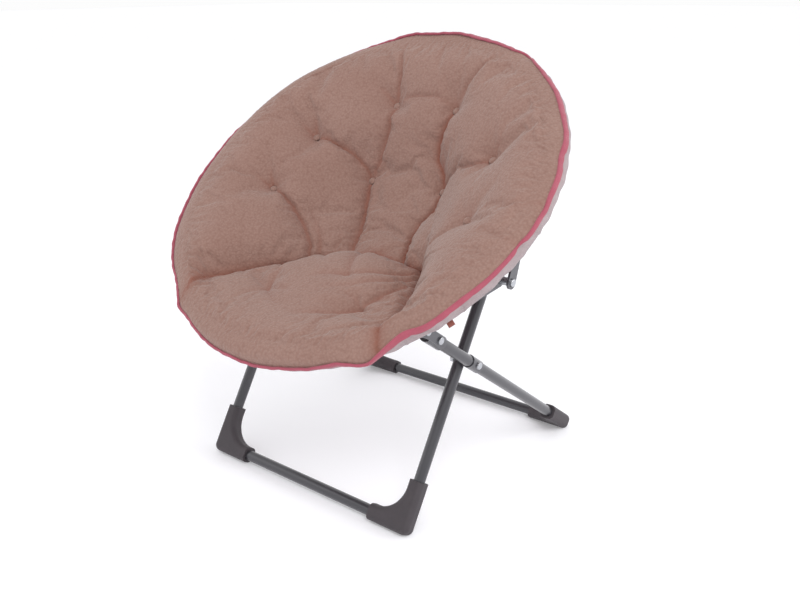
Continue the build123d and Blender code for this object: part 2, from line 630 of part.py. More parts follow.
# Seat pad: a flatter panel between two bolsters, in front of the crease
with BuildPart() as seat_panel:
    dish(PANEL_SWELL)
    extrude(panel_plan(), amount=HOOP_RADIUS, both=True, mode=Mode.INTERSECT)
    slope = radians(PANEL_RISE)
    forward = hoop_plane.z_dir * sin(slope) - hoop_plane.y_dir * cos(slope)
    crease_middle = from_hoop(0, -CREASE_FORWARD, -PANEL_DROP)
    with BuildSketch(Plane(origin=crease_middle, x_dir=(1, 0, 0), z_dir=forward)) as above_panel:
        with Locations((0, PANEL_RADIUS)):
            Circle(PANEL_RADIUS)
    extrude(above_panel.sketch, amount=HOOP_RADIUS, both=True, mode=Mode.SUBTRACT)

with BuildPart() as seat_pad:
    dish(0)
    extrude(panel_plan(), amount=HOOP_RADIUS, both=True, mode=Mode.SUBTRACT)
    add(seat_panel.part)
    keep_side(-CREASE_FORWARD - SOFT_FIT, -1)
    crease_groove()
    channel(SEAT_CREASE, panel_height, CREASE_R, SEAT_CREASE_DEPTH)
    notch((TONGUE_X + LUG_X) / 2, BAR + LUG_FIT + NOTCH_MARGIN, -HOOP_RADIUS,
          FRONT_PIVOT_ALONG + EYE_R + 2 * NOTCH_MARGIN)
save(seat_pad, "seat_pad")

# Covered buttons, each seated in its dimple
with BuildPart() as tuft_buttons:
    with Locations(*[place - hoop_axis.direction * DIMPLE_R for place in dimple_places]):
        Sphere(BUTTON_R)
    with Locations(*dimple_places):
        Sphere(DIMPLE_R - SOFT_FIT, mode=Mode.INTERSECT)
save(tuft_buttons, "tuft_buttons")

# Fabric sleeves round the hoop, open at the hinges and brackets
hinge_end = HINGE_REACH + ROOT_R + SLEEVE_GAP
side_from = degrees(asin((hinge_end - HINGE_FORWARD) / HOOP_RADIUS))
side_to = degrees(acos((FRONT_X + CHEEK_X + SLEEVE_GAP) / HOOP_RADIUS))
top_from = degrees(acos((FRONT_X - CHEEK_X - SLEEVE_GAP) / HOOP_RADIUS))
seat_from = -degrees(asin((hinge_end + HINGE_FORWARD) / HOOP_RADIUS))
seat_to = -degrees(acos((LUG_X + BAR + SLEEVE_GAP) / HOOP_RADIUS))
front_from = -degrees(acos((TONGUE_X - BAR - SLEEVE_GAP) / HOOP_RADIUS))
SLEEVES = (("back_sleeve_right", side_from, side_to), ("back_sleeve_left", 180 - side_to, 180 - side_from),
           ("top_sleeve", top_from, 180 - top_from),
           ("seat_sleeve_right", seat_to, seat_from), ("seat_sleeve_left", 180 - seat_from, 180 - seat_to),
           ("front_sleeve", -180 - front_from, front_from))
for sleeve_name, start, end in SLEEVES:
    with BuildPart() as sleeve:
        line = hoop_path(start, end)
        sweep(ring_section(line, SLEEVE_R, HOOP_R + SEAT_FIT), path=line)
    save(sleeve, sleeve_name)

# Binding tape round the rim, laid on the sleeves
BINDING_ABOVE = sqrt((SLEEVE_R + BINDING_R + SOFT_FIT) ** 2 - BINDING_INSET**2)
for tape_name, start, end in (("back_binding", back_start, 180 - back_start),
                              ("seat_binding", 180 + seat_start, 360 - seat_start)):
    with BuildPart() as binding:
        line = hoop_path(start, end, HOOP_RADIUS - BINDING_INSET, BINDING_ABOVE)
        sweep(ring_section(line, BINDING_R, 0), path=line)
    save(binding, tape_name)

# Tie tabs hanging from the middles of the seat's side sleeves
tie_at = (seat_from + seat_to) / 2
with BuildPart() as tie_tabs:
    for angle in (tie_at, 180 - tie_at):
        drop = SLEEVE_R + SOFT_FIT + TIE_LENGTH / 2
        place = hoop_plane.location * Location((0, 0, 0), (0, 0, angle))
        with Locations(place * Location((HOOP_RADIUS, 0, -drop))):
            Box(TIE_THICK, TIE_WIDTH, TIE_LENGTH)
save(tie_tabs, "tie_tabs")
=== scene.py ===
"""Folding papasan chair: padded cover, hem, binding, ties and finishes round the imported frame."""
import json
import math

import bpy
import numpy as np
from mathutils import Matrix


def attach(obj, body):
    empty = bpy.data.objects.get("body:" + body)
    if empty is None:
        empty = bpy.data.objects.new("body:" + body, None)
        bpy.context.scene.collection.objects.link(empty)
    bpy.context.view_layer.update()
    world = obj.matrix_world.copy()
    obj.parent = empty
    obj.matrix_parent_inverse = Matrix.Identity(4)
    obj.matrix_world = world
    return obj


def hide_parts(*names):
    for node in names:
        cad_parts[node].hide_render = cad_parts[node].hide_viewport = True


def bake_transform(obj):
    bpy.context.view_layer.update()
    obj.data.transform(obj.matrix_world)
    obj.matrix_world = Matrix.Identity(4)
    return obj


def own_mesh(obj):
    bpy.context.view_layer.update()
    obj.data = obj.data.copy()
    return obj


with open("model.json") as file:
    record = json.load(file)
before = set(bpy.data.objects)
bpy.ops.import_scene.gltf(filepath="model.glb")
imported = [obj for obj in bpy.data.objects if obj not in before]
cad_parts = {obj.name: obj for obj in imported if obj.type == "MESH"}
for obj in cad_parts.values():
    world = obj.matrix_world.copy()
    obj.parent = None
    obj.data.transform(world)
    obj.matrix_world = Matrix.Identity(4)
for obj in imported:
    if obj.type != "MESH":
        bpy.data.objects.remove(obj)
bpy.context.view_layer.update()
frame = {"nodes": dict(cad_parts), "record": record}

# The hoop's own axes: across the chair, along its tilt and square to it
TILT = math.radians(38)
HOOP_CENTRE = np.array([0.0, -0.02672, 0.59039])
ACROSS = np.array([1.0, 0.0, 0.0])
ALONG = np.array([0.0, math.cos(TILT), math.sin(TILT)])
ABOVE = np.array([0.0, -math.sin(TILT), math.cos(TILT)])
HOOP_R = 0.400
# The side hinges' place along the tilt, and how far from it the tubes end
HINGE_ALONG = -0.115
TUBE_SETBACK = 0.046


def in_row(across, along, above):
    """Row-frame points from arrays across, along the tilt and above the hoop's plane."""
    return (HOOP_CENTRE + across[..., None] * ACROSS + along[..., None] * ALONG
            + above[..., None] * ABOVE)


def hoop_point(across, along, above):
    """One row-frame point as a tuple."""
    return tuple(in_row(np.array(across), np.array(along), np.array(above)))


# Shader maths

class Value:
    """A shader socket: arithmetic on it adds Math nodes."""

    def __init__(self, finish, socket):
        self.finish = finish
        self.socket = socket

    def math(self, operation, *others):
        terms = dict(enumerate((self,) + others))
        return self.finish.node("ShaderNodeMath", {"operation": operation}, terms)

    def __add__(self, other):
        return self.math("ADD", other)

    def __radd__(self, other):
        return self.math("ADD", other)

    def __mul__(self, other):
        return self.math("MULTIPLY", other)

    def __rmul__(self, other):
        return self.math("MULTIPLY", other)

    def __sub__(self, other):
        return self.math("SUBTRACT", other)

    def __rsub__(self, other):
        return self.math("MULTIPLY_ADD", -1.0, other)

    def sine(self):
        return self.math("SINE")

    def absolute(self):
        return self.math("ABSOLUTE")


# Places of the Mix node's sockets for colours
MIX_SHARE = 0
MIX_FIRST = 6
MIX_SECOND = 7
MIX_RESULT = 2


class Finish:
    """One procedural material, built node by node."""

    def __init__(self, name):
        self.material = bpy.data.materials.new(name)
        self.material.use_nodes = True
        self.tree = self.material.node_tree
        self.shader = self.tree.nodes["Principled BSDF"]

    def node(self, kind, settings=None, inputs=None, output=0):
        """Adds a node, sets its settings, then its sockets by values or links."""
        made = self.tree.nodes.new(kind)
        for key, value in (settings or {}).items():
            setattr(made, key, value)
        for key, value in (inputs or {}).items():
            self.feed(made.inputs[key], value)
        return Value(self, made.outputs[output])

    def feed(self, socket, value):
        """Links a value to a socket, or sets a constant on it."""
        if isinstance(value, Value):
            self.tree.links.new(value.socket, socket)
        else:
            socket.default_value = value

    def set(self, **sockets):
        """Feeds the shader's sockets, given with _ for spaces."""
        for key, value in sockets.items():
            self.feed(self.shader.inputs[key.replace("_", " ")], value)

    def coords(self, stretch=(1, 1, 1), kind="Object"):
        place = self.node("ShaderNodeTexCoord", output=kind)
        return self.node("ShaderNodeMapping", None, {"Vector": place, "Scale": stretch})

    def noise(self, scale, detail=2.0, rough=0.5, where=None):
        inputs = {"Vector": where or self.coords(), "Scale": scale, "Detail": detail, "Roughness": rough}
        return self.node("ShaderNodeTexNoise", None, inputs)

    def cells(self, scale):
        inputs = {"Vector": self.coords(), "Scale": scale, "Smoothness": 0.6}
        return self.node("ShaderNodeTexVoronoi", {"feature": "SMOOTH_F1"}, inputs)

    def mix(self, share, first, second):
        """Colour between two colours."""
        inputs = {MIX_SHARE: share, MIX_FIRST: first, MIX_SECOND: second}
        return self.node("ShaderNodeMix", {"data_type": "RGBA"}, inputs, MIX_RESULT)

    def ribs(self, side, per_metre):
        """Round-topped ribs across one side of the piece's UV map, |sin(pi count)|."""
        place = self.node("ShaderNodeSeparateXYZ", None, {"Vector": self.coords(kind="UV")}, side)
        return (place * (per_metre * math.pi)).sine().absolute()

    def attribute(self, name):
        return self.node("ShaderNodeAttribute", {"attribute_name": name}, output="Fac")

    def bump(self, height, distance, strength):
        inputs = {"Height": height, "Distance": distance, "Strength": strength}
        return self.node("ShaderNodeBump", None, inputs)


def rgb(red, green, blue):
    """Linear colour from 8-bit screen values."""
    shares = np.array([red, green, blue]) / 255
    linear = np.where(shares <= 0.04045, shares / 12.92, ((shares + 0.055) / 1.055) ** 2.4)
    return (*linear.tolist(), 1.0)


def fleece():
    """Short curly pile: nubs over broad random tone, redder and darker in the folds as painted shade."""
    f = Finish("fleece")
    curls = f.cells(scale=230.0)
    nap = f.noise(scale=420.0, detail=3.0, rough=0.6)
    drift = f.noise(scale=9.0, detail=3.0)
    pile = f.mix(drift, rgb(146, 115, 105), rgb(157, 128, 118))
    shaded = f.mix(curls * 0.6, pile, rgb(118, 84, 73))
    # Painted shade: the fold attribute draws the fleece towards dark red-brown in the folds, round the tufts
    # and along the crease
    colour = f.mix(f.attribute("fold"), shaded, rgb(130, 82, 68))
    nubs = f.bump(nap * 0.6 - curls, distance=0.0022, strength=0.55)
    f.set(Base_Color=colour, Roughness=0.96, Sheen_Weight=0.25, Sheen_Roughness=0.5,
          Specular_IOR_Level=0.12, Normal=nubs)
    return f.material


def woven(name, dark, light, threads):
    """Plain weave on the piece's own UV map, in threads per metre."""
    f = Finish(name)
    weave = f.ribs("X", threads) * f.ribs("Y", threads)
    mottle = f.noise(scale=60.0, detail=4.0)
    colour = f.mix(mottle * 0.7 + weave * 0.3, rgb(*dark), rgb(*light))
    relief = f.bump(weave + mottle * 0.4, distance=0.0005, strength=0.7)
    f.set(Base_Color=colour, Roughness=0.86, Sheen_Weight=0.2, Specular_IOR_Level=0.2, Normal=relief)
    return f.material


def tape(name, dark, light, ribs_per_metre):
    """Ribbed binding tape: ribs across it, a little painted highlight on the rib tops."""
    f = Finish(name)
    ribs = f.ribs("X", ribs_per_metre)
    wear = f.noise(scale=35.0, detail=3.0)
    # Painted highlight: the rib tops are drawn lighter; the wear noise adds random tone
    colour = f.mix(ribs * 0.35 + wear * 0.5, rgb(*dark), rgb(*light))
    relief = f.bump(ribs, distance=0.0005, strength=0.6)
    f.set(Base_Color=colour, Roughness=0.62, Sheen_Weight=0.15, Specular_IOR_Level=0.3, Normal=relief)
    return f.material


def webbing(name, dark, light):
    """Small soft ends: fine noise for fibres."""
    f = Finish(name)
    fibre = f.noise(scale=900.0)
    colour = f.mix(fibre, rgb(*dark), rgb(*light))
    relief = f.bump(fibre, distance=0.0004, strength=0.6)
    f.set(Base_Color=colour, Roughness=0.85, Specular_IOR_Level=0.2, Normal=relief)
    return f.material


def tube_paint(name, dark, light):
    """Powder-coated tube: fine orange peel and faint rubbed patches."""
    f = Finish(name)
    peel = f.noise(scale=1100.0)
    rub = f.noise(scale=14.0, detail=3.0)
    colour = f.mix(rub, rgb(*dark), rgb(*light))
    relief = f.bump(peel, distance=0.0001, strength=0.15)
    f.set(Base_Color=colour, Metallic=0.35, Roughness=rub * 0.08 + 0.26, Specular_IOR_Level=0.6,
          Coat_Weight=0.5, Coat_Roughness=0.12, Normal=relief)
    return f.material


def moulded(name, dark, light, rough):
    """Moulded plastic with a spark-eroded grain and scuffs."""
    f = Finish(name)
    grain = f.cells(scale=1500.0)
    scuff = f.noise(scale=45.0, detail=5.0, rough=0.7)
    colour = f.mix(scuff, rgb(*dark), rgb(*light))
    relief = f.bump(grain, distance=0.0003, strength=0.4)
    f.set(Base_Color=colour, Roughness=scuff * 0.2 + rough, Specular_IOR_Level=0.4, Normal=relief)
    return f.material


def plated(name, dark, light):
    """Zinc-plated steel with turning marks, drawn out by stretched noise."""
    f = Finish(name)
    marks = f.noise(scale=500.0, detail=3.0, rough=0.6, where=f.coords((6, 1, 1)))
    colour = f.mix(marks, rgb(*dark), rgb(*light))
    relief = f.bump(marks, distance=0.0001, strength=0.3)
    f.set(Base_Color=colour, Metallic=1.0, Roughness=marks * 0.2 + 0.25, Normal=relief)
    return f.material


FLEECE = fleece()
POCKET = woven("pocket_cloth", (152, 136, 139), (178, 163, 164), threads=900)
TAPE = tape("binding_tape", (146, 62, 78), (176, 89, 106), ribs_per_metre=700)
TIE = webbing("tie_tape", (112, 62, 54), (148, 92, 82))
FINISHES = {
    "frame_paint": tube_paint("frame_paint", (50, 49, 54), (64, 63, 68)),
    "fitting_paint": tube_paint("fitting_paint", (60, 59, 64), (78, 77, 82)),
    "zinc": plated("zinc", (150, 152, 156), (206, 208, 212)),
    "foot_plastic": moulded("foot_plastic", (54, 49, 53), (72, 66, 70), rough=0.45),
    "plug_plastic": moulded("plug_plastic", (28, 27, 28), (44, 43, 44), rough=0.5),
    "fleece": FLEECE,
    "pocket_cloth": POCKET,
    "binding_tape": TAPE,
    "tie_tape": TIE,
}
for subpart in frame["record"]["subparts"]:
    node = frame["nodes"][subpart["node"]]
    node.data.materials.clear()
    node.data.materials.append(FINISHES[subpart["material_slot"]])


# Meshes from arrays

def quads(rows, columns, wrap_rows=False, wrap_columns=False):
    """Faces of a grid of points, rows by columns, closed round either way if asked."""
    i = np.arange(rows if wrap_rows else rows - 1)[:, None]
    j = np.arange(columns if wrap_columns else columns - 1)[None, :]
    below = (i + 1) % rows
    right = (j + 1) % columns
    corners = (i * columns + j, below * columns + j, below * columns + right, i * columns + right)
    return np.stack(corners, -1).reshape(-1, 4)


def piece_from(name, points, faces, materials, uv=None, face_slots=None, attributes=None):
    """Mesh object from whole arrays: faces is a list of them, uv holds one pair for each point."""
    mesh = bpy.data.meshes.new(name)
    mesh.from_pydata(points.reshape(-1, 3).tolist(), [], sum((part.tolist() for part in faces), []))
    for material in materials:
        mesh.materials.append(material)
    mesh.polygons.foreach_set("use_smooth", np.ones(len(mesh.polygons), bool))
    if face_slots is not None:
        mesh.polygons.foreach_set("material_index", face_slots.astype(np.int32))
    if uv is not None:
        corner = np.zeros(len(mesh.loops), np.int32)
        mesh.loops.foreach_get("vertex_index", corner)
        mesh.uv_layers.new(name="cloth").data.foreach_set("uv", uv.reshape(-1, 2)[corner].ravel())
    for key, values in (attributes or {}).items():
        made = mesh.attributes.new(key, "FLOAT", "POINT")
        made.data.foreach_set("value", values.ravel().astype(np.float32))
    mesh.update()
    piece = bpy.data.objects.new(name, mesh)
    bpy.context.scene.collection.objects.link(piece)
    return piece


def thicken(piece, name, thickness, offset):
    """Gives a single cloth surface its thickness."""
    thick = piece.modifiers.new(name, "SOLIDIFY")
    thick.thickness = thickness
    thick.offset = offset


def hermite(at, knots, heights):
    """Smooth curve through knots, with slopes from their neighbours."""
    knots = np.asarray(knots, float)
    heights = np.asarray(heights, float)
    slopes = np.gradient(heights, knots)
    k = np.clip(np.searchsorted(knots, at) - 1, 0, len(knots) - 2)
    span = knots[k + 1] - knots[k]
    t = np.clip((at - knots[k]) / span, 0, 1)
    return ((2 * t**3 - 3 * t**2 + 1) * heights[k] + (t**3 - 2 * t**2 + t) * span * slopes[k]
            + (3 * t**2 - 2 * t**3) * heights[k + 1] + (t**3 - t**2) * span * slopes[k + 1])


def nearest(x, s, points):
    """Distance to a line of points, how far along it (0 to 1) and the place on it that is nearest."""
    points = np.asarray(points, float)
    lengths = np.linalg.norm(np.diff(points, axis=0), axis=1)
    reach = np.concatenate([[0], np.cumsum(lengths)]) / lengths.sum()
    gap = np.full(np.shape(x), np.inf)
    share = np.zeros(np.shape(x))
    for k, (px, ps) in enumerate(points[:-1]):
        dx, ds = points[k + 1] - points[k]
        t = np.clip(((x - px) * dx + (s - ps) * ds) / (dx**2 + ds**2), 0, 1)
        here = np.hypot(x - px - t * dx, s - ps - t * ds)
        share = np.where(here < gap, reach[k] + t * (reach[k + 1] - reach[k]), share)
        gap = np.minimum(gap, here)
    return gap, share, np.interp(share, reach, points[:, 0]), np.interp(share, reach, points[:, 1])


def smooth(value, low, high):
    """Eases from 0 at low to 1 at high."""
    t = np.clip((value - low) / (high - low), 0, 1)
    return t * t * (3 - 2 * t)


def swing(turn, centre, width):
    """Bump of height 1 round the hoop, centred at an angle in degrees."""
    gap = np.angle(np.exp(1j * (turn - math.radians(centre))))
    return np.exp(-((gap / math.radians(width)) ** 2))


def ripples(x, s, seed, count, short, long):
    """Even unevenness about 0: many sine waves of chosen lengths in random directions."""
    draw = np.random.default_rng(seed)
    turn = draw.uniform(0, 2 * math.pi, count)
    wave = 2 * math.pi / draw.uniform(short, long, count)
    phase = draw.uniform(0, 2 * math.pi, count)
    total = np.zeros(np.shape(x))
    for a, w, p in zip(turn, wave, phase):
        total += np.sin(w * (x * math.cos(a) + s * math.sin(a)) + p)
    return total / math.sqrt(count)


# Rim of the cover

RIM_OUT = 0.0148
RIM_UP = 52
# Broad turns of the rim, then gathers: angle round the hoop and width, outwards, turned up; in degrees
RIM_TURNS = (
    (88, 20, 0.008, 0), (145, 24, 0, -50), (84, 22, 0, 26), (-80, 30, 0, -62), (-155, 24, 0, -34),
    (-55, 5.0, 0.011, -30), (-44, 3.0, -0.003, 18), (-10.5, 2.4, -0.004, 10), (1, 2.4, -0.003, -12),
    (17, 3.0, -0.003, 8), (60.5, 2.8, -0.003, -38), (-120, 3.5, 0.004, -22), (-131, 5.0, -0.004, 10),
    (-96, 6.0, 0.002, 6), (165, 4.0, -0.002, 8), (105, 5.0, 0.002, -8),
)


def rim_turn(turn):
    """The binding's place on the hoop tube: distance from the tube's middle, and angle up from outwards.

    A mean with two sine waves round the hoop, and a bump for each of the rim's turns."""
    out = RIM_OUT + 0.0008 * np.sin(7 * turn + 1) + 0.0006 * np.sin(17 * turn + 2)
    up = RIM_UP + 4 * np.sin(11 * turn) + 3 * np.sin(23 * turn + 1)
    for centre, width, outward, upward in RIM_TURNS:
        bump = swing(turn, centre, width)
        out = out + outward * bump
        up = up + upward * bump
    return out, np.radians(up)


def rim_line(turn):
    """The binding's radius from the hoop's middle and height above its plane."""
    out, up = rim_turn(turn)
    return HOOP_R + out * np.cos(up), out * np.sin(up)


# Padded dish: tufts, folds and creases, placed across the hoop and along its tilt

RIGHT_TUFTS = np.array([(0.094, 0.102), (0.076, 0.248), (0.227, 0.130), (0.252, -0.018)])
TUFTS = np.concatenate([RIGHT_TUFTS, RIGHT_TUFTS * [-1, 1]])
TUFT_PULL = (1, 1, 1, 0.6, 1, 1, 1, 1)
# Folds of the back: places on them, depth, width, and how much is left of them at their two ends
BACK_FOLDS = (
    (((-0.225, 0.130), (-0.188, 0.130), (-0.138, 0.126), (-0.106, 0.116), (-0.094, 0.102)),
     0.014, 0.008, 1, 1),
    (((-0.076, 0.248), (-0.077, 0.300), (-0.095, 0.365)), 0.013, 0.009, 1, 0.4),
    (((-0.076, 0.248), (-0.071, 0.192), (-0.079, 0.135), (-0.094, 0.102)), 0.011, 0.012, 1, 1),
    (((-0.094, 0.102), (-0.079, 0.046), (-0.062, -0.006), (-0.046, -0.062), (-0.036, -0.098)),
     0.016, 0.011, 1, 0.9),
    (((0.076, 0.248), (0.069, 0.215), (0.060, 0.180), (0.064, 0.155), (0.089, 0.128), (0.094, 0.102)),
     0.018, 0.011, 1, 1),
    (((0.094, 0.102), (0.096, 0.058), (0.074, 0.024), (0.073, -0.015), (0.094, -0.082)),
     0.019, 0.011, 1, 1),
    (((0.227, 0.130), (0.190, 0.118), (0.125, 0.120)), 0.014, 0.009, 1, 0.2),
    (((0.227, 0.130), (0.234, 0.155), (0.240, 0.190)), 0.010, 0.009, 1, 0.1),
    (((-0.252, -0.018), (-0.222, -0.025), (-0.190, -0.040), (-0.154, -0.066), (-0.122, -0.098),
      (-0.104, -0.138)), 0.014, 0.009, 1, 0.9),
    (((-0.170, -0.014), (-0.140, -0.046), (-0.112, -0.076), (-0.088, -0.120)), 0.012, 0.009, 0.1, 1),
    (((-0.090, -0.030), (-0.074, -0.064), (-0.066, -0.108)), 0.008, 0.008, 0.1, 1),
    (((-0.252, -0.018), (-0.270, 0.020)), 0.017, 0.007, 1, 0.1),
    (((-0.252, -0.018), (-0.292, -0.012)), 0.015, 0.007, 1, 0.1),
    (((-0.227, 0.130), (-0.238, 0.170)), 0.016, 0.007, 1, 0.1),
    (((-0.227, 0.130), (-0.272, 0.142)), 0.015, 0.007, 1, 0.1),
    (((-0.076, 0.248), (-0.124, 0.264)), 0.014, 0.008, 1, 0.1),
    (((-0.076, 0.248), (-0.030, 0.258), (0.030, 0.262), (0.076, 0.248)), 0.006, 0.010, 1, 1),
    (((0.076, 0.248), (0.092, 0.280), (0.118, 0.318), (0.150, 0.360)), 0.009, 0.009, 1, 0.2),
    (((0.135, 0.270), (0.165, 0.305), (0.190, 0.340)), 0.005, 0.009, 0.2, 0.5),
    (((0.330, -0.012), (0.365, 0.005), (0.400, 0.012)), 0.006, 0.007, 0.1, 1),
    (((0.325, -0.060), (0.360, -0.068), (0.398, -0.075)), 0.006, 0.007, 0.1, 1),
    (((0.230, -0.030), (0.200, -0.045), (0.160, -0.080)), 0.006, 0.012, 0.1, 1),
    (((0.020, 0.300), (0.010, 0.340), (0.004, 0.385)), 0.004, 0.010, 0.1, 0.8),
)
# Folds of the seat, in the same way
SEAT_FOLDS = (
    (((-0.130, -0.232), (-0.082, -0.254), (-0.030, -0.250)), 0.017, 0.011, 0.3, 0.3),
    (((-0.096, -0.190), (-0.088, -0.226), (-0.082, -0.254)), 0.012, 0.010, 0.1, 1),
    (((-0.082, -0.254), (-0.040, -0.280), (0.000, -0.292)), 0.010, 0.011, 1, 0.1),
    (((0.014, -0.082), (0.030, -0.125), (0.060, -0.176)), 0.012, 0.009, 0.9, 0.6),
    (((0.060, -0.176), (0.020, -0.186), (-0.010, -0.206)), 0.010, 0.010, 1, 0.1),
    (((0.040, -0.302), (0.096, -0.276), (0.142, -0.240)), 0.014, 0.010, 0.1, 1),
    (((0.142, -0.240), (0.118, -0.222), (0.086, -0.222)), 0.010, 0.010, 1, 0.1),
    (((0.152, -0.098), (0.118, -0.142), (0.060, -0.176), (0.010, -0.196)), 0.013, 0.008, 1, 0.2),
    (((0.160, -0.112), (0.138, -0.158), (0.090, -0.200), (0.040, -0.226)), 0.013, 0.008, 1, 0.1),
    (((0.172, -0.132), (0.160, -0.180), (0.142, -0.240)), 0.014, 0.009, 1, 0.7),
    (((-0.128, -0.168), (-0.108, -0.190), (-0.096, -0.214)), 0.008, 0.009, 0.8, 0.1),
    (((-0.060, -0.110), (-0.040, -0.138), (-0.010, -0.156)), 0.009, 0.009, 0.9, 0.1),
)
# Crease between seat and back, across and along, and the seat panel's two back corners
CREASE_KNOTS = (-0.42, -0.20, -0.078, -0.040, 0.013, 0.083, 0.154, 0.22, 0.42)
CREASE_PLACES = (-0.115, -0.118, -0.116, -0.097, -0.079, -0.081, -0.091, -0.100, -0.100)
LEFT_CORNER = -0.078
CORNER = (0.154, -0.095)
LEFT_CREASE = [(-0.214, -0.345), (-0.214, -0.310), (-0.224, -0.270), (-0.190, -0.222), (-0.147, -0.181)]
RIGHT_CREASE = [(0.188, -0.148), (0.226, -0.229), (0.240, -0.282), (0.257, -0.318), (0.271, -0.344)]
# Two places beyond the rim that close the seat panel's outline
PANEL_FRONT = [(0.30, -0.60), (-0.30, -0.60)]


def crease_along(x):
    """Where the crease between seat and back lies: bowed back in the middle, lower at the left."""
    return hermite(x, CREASE_KNOTS, CREASE_PLACES)


CREASE_X = np.linspace(LEFT_CORNER, CORNER[0], 13)
PANEL_LINE = LEFT_CREASE + list(zip(CREASE_X, crease_along(CREASE_X))) + RIGHT_CREASE
PANEL_LENGTH = np.linalg.norm(np.diff(np.array(PANEL_LINE), axis=0), axis=1).sum()


def in_panel(x, s):
    """Whether places lie on the seat panel: even-odd count of the outline's crossings."""
    corners = PANEL_LINE + PANEL_FRONT
    inside = np.zeros(np.shape(x), bool)
    for (ax, a_s), (bx, b_s) in zip(corners, corners[1:] + corners[:1]):
        if a_s == b_s:
            continue
        crosses = (a_s > s) != (b_s > s)
        inside ^= crosses & (x < ax + (s - a_s) * (bx - ax) / (b_s - a_s))
    return inside


# Turned profile of the padding's upper face: radius and height
BOWL_KNOTS = (0, 0.08, 0.15, 0.22, 0.29, 0.33, 0.36, 0.385, 0.42)
BOWL_HEIGHTS = (-0.136, -0.121, -0.086, -0.034, -0.002, 0.013, 0.019, 0.020, 0.020)
# The seat panel: height at its back, slope to the front, radius across, and rise over the front tube
PANEL_LOW = -0.084
PANEL_BACK = -0.095
PANEL_SLOPE = 0.30
PANEL_TROUGH = 2.5
PANEL_LIFT = 0.014
PANEL_LIFT_FROM = (0.28, 0.37)


def bowl(r):
    """The padding's upper face, turned round the hoop's axis."""
    return hermite(r, BOWL_KNOTS, BOWL_HEIGHTS)


def panel(x, s):
    """Seat panel: a shallow trough rising to the front, and over the hoop's front tube."""
    lift = PANEL_LIFT * smooth(np.hypot(x, s), *PANEL_LIFT_FROM)
    return PANEL_LOW + PANEL_SLOPE * (PANEL_BACK - s) + x**2 / (2 * PANEL_TROUGH) + lift


FOLD_ROUND = 0.0015
# Depth at which a fold's painted shade is full, and how far from a fold the painted shade reaches
FOLD_FULL = 0.014
FOLD_SHADE = 0.020
PINCH_DEPTH = 0.022
PINCH_ROUND = 0.004
PINCH_WIDTH = 0.019
DENT_DEPTH = 0.005
DENT_WIDTH = 0.05
TUFT_SHADE = 0.012
JOINED_SHARE = 0.3


def joined(first, second):
    """Two hollows where they meet: the deeper one and a share of the other."""
    return np.maximum(first, second) + JOINED_SHARE * np.minimum(first, second)


def fold_depth(x, s, folds):
    """Depth of a set of folds, and how close a place is to one (0 to 1), which sets the painted shade in the
    folds.

    Each is deepest along its line, and falls off as exp(-distance / width) with a rounded bottom."""
    low = np.zeros(np.shape(x))
    close = np.zeros(np.shape(x))
    for points, depth, width, first, last in folds:
        gap, share, _, _ = nearest(x, s, points)
        left = depth * (first + (last - first) * share)
        here = left * np.exp(-np.sqrt(gap**2 + FOLD_ROUND**2) / width)
        low = joined(low, here)
        close = np.maximum(close, here / FOLD_FULL * np.exp(-gap / FOLD_SHADE))
    return low, np.minimum(close, 1)


def tufted(x, s, low, close):
    """The back's hollows with the tufts added: a sharp pinch, exp(-distance), in a broad dent at each, and
    painted shade close round each tuft.
    """
    for (across, along), pull in zip(TUFTS, TUFT_PULL):
        gap = np.hypot(x - across, s - along)
        pinch = pull * PINCH_DEPTH * np.exp(-np.sqrt(gap**2 + PINCH_ROUND**2) / PINCH_WIDTH)
        low = joined(low, pinch + DENT_DEPTH * np.exp(-((gap / DENT_WIDTH) ** 2)))
        close = np.maximum(close, np.exp(-gap / TUFT_SHADE))
    return low, close


# Where the cover starts to round over the hoop tube, and its rise at the upper left
CREST_R = 0.372
CREST_FROM = 0.28
CREST_RISE = 0.015
CREST_SWING = (145, 26)
# How soon the faces rise from the crease: the back behind it, the sides beside it, and the seat
SIDES_FROM = -0.1
BACK_WALL = 0.030
SIDE_WALL = 0.034
SEAT_WALL = 0.016
SEAT_PUFF = 0.009
PUFF_REACH = 0.045
CORNER_DROP = 0.020
CORNER_WIDTH = 0.06
CORNER_LIP = 0.02


def back_face(x, s, turn, gap, drop):
    """Bowl with its crest, less folds and tufts, drawn down to the crease by drop exp(-gap / wall)."""
    r = np.hypot(x, s)
    low, close = tufted(x, s, *fold_depth(x, s, BACK_FOLDS))
    crest = CREST_RISE * swing(turn, *CREST_SWING) * smooth(r, CREST_FROM, CREST_R)
    wall = np.where(s > SIDES_FROM, BACK_WALL, SIDE_WALL)
    return bowl(r) + crest - drop * np.exp(-gap / wall) - low, close


def seat_face(x, s, gap, sunk):
    """Panel less folds, low at its right back corner, puffed away from the crease and sunk to it."""
    low, close = fold_depth(x, s, SEAT_FOLDS)
    corner = np.hypot(x - CORNER[0], s - CORNER[1])
    low = low + CORNER_DROP * np.exp(-((corner / CORNER_WIDTH) ** 2)) * (1 - np.exp(-gap / CORNER_LIP))
    puff = SEAT_PUFF * (1 - np.exp(-gap / PUFF_REACH))
    return panel(x, s) + puff - sunk * np.exp(-gap / SEAT_WALL) - low, close


# Depth of the crease below the panel, by distance along it from its middle
SINK_AT = (0, 0.12, 0.16, 0.21, 0.28, 0.35, 0.43)
SINK_DEPTH = (0.026, 0.034, 0.042, 0.026, 0.016, 0.012, 0.010)
SINK_RADII = (0.385, 0.345)
DROP_RADII = (0.390, 0.345)
CREASE_SHADE = 0.012
CREASE_SHADE_ENDS = (0.47, 0.36)
# Least height where the cover passes over the hoop tube, and the right crease's nick there
OVER_TUBE = 0.021
OVER_TUBE_RADII = (0.345, 0.380)
NICK_DEPTH = 0.006
NICK_WIDTH = 0.008
NICK_RADII = (0.335, 0.365)


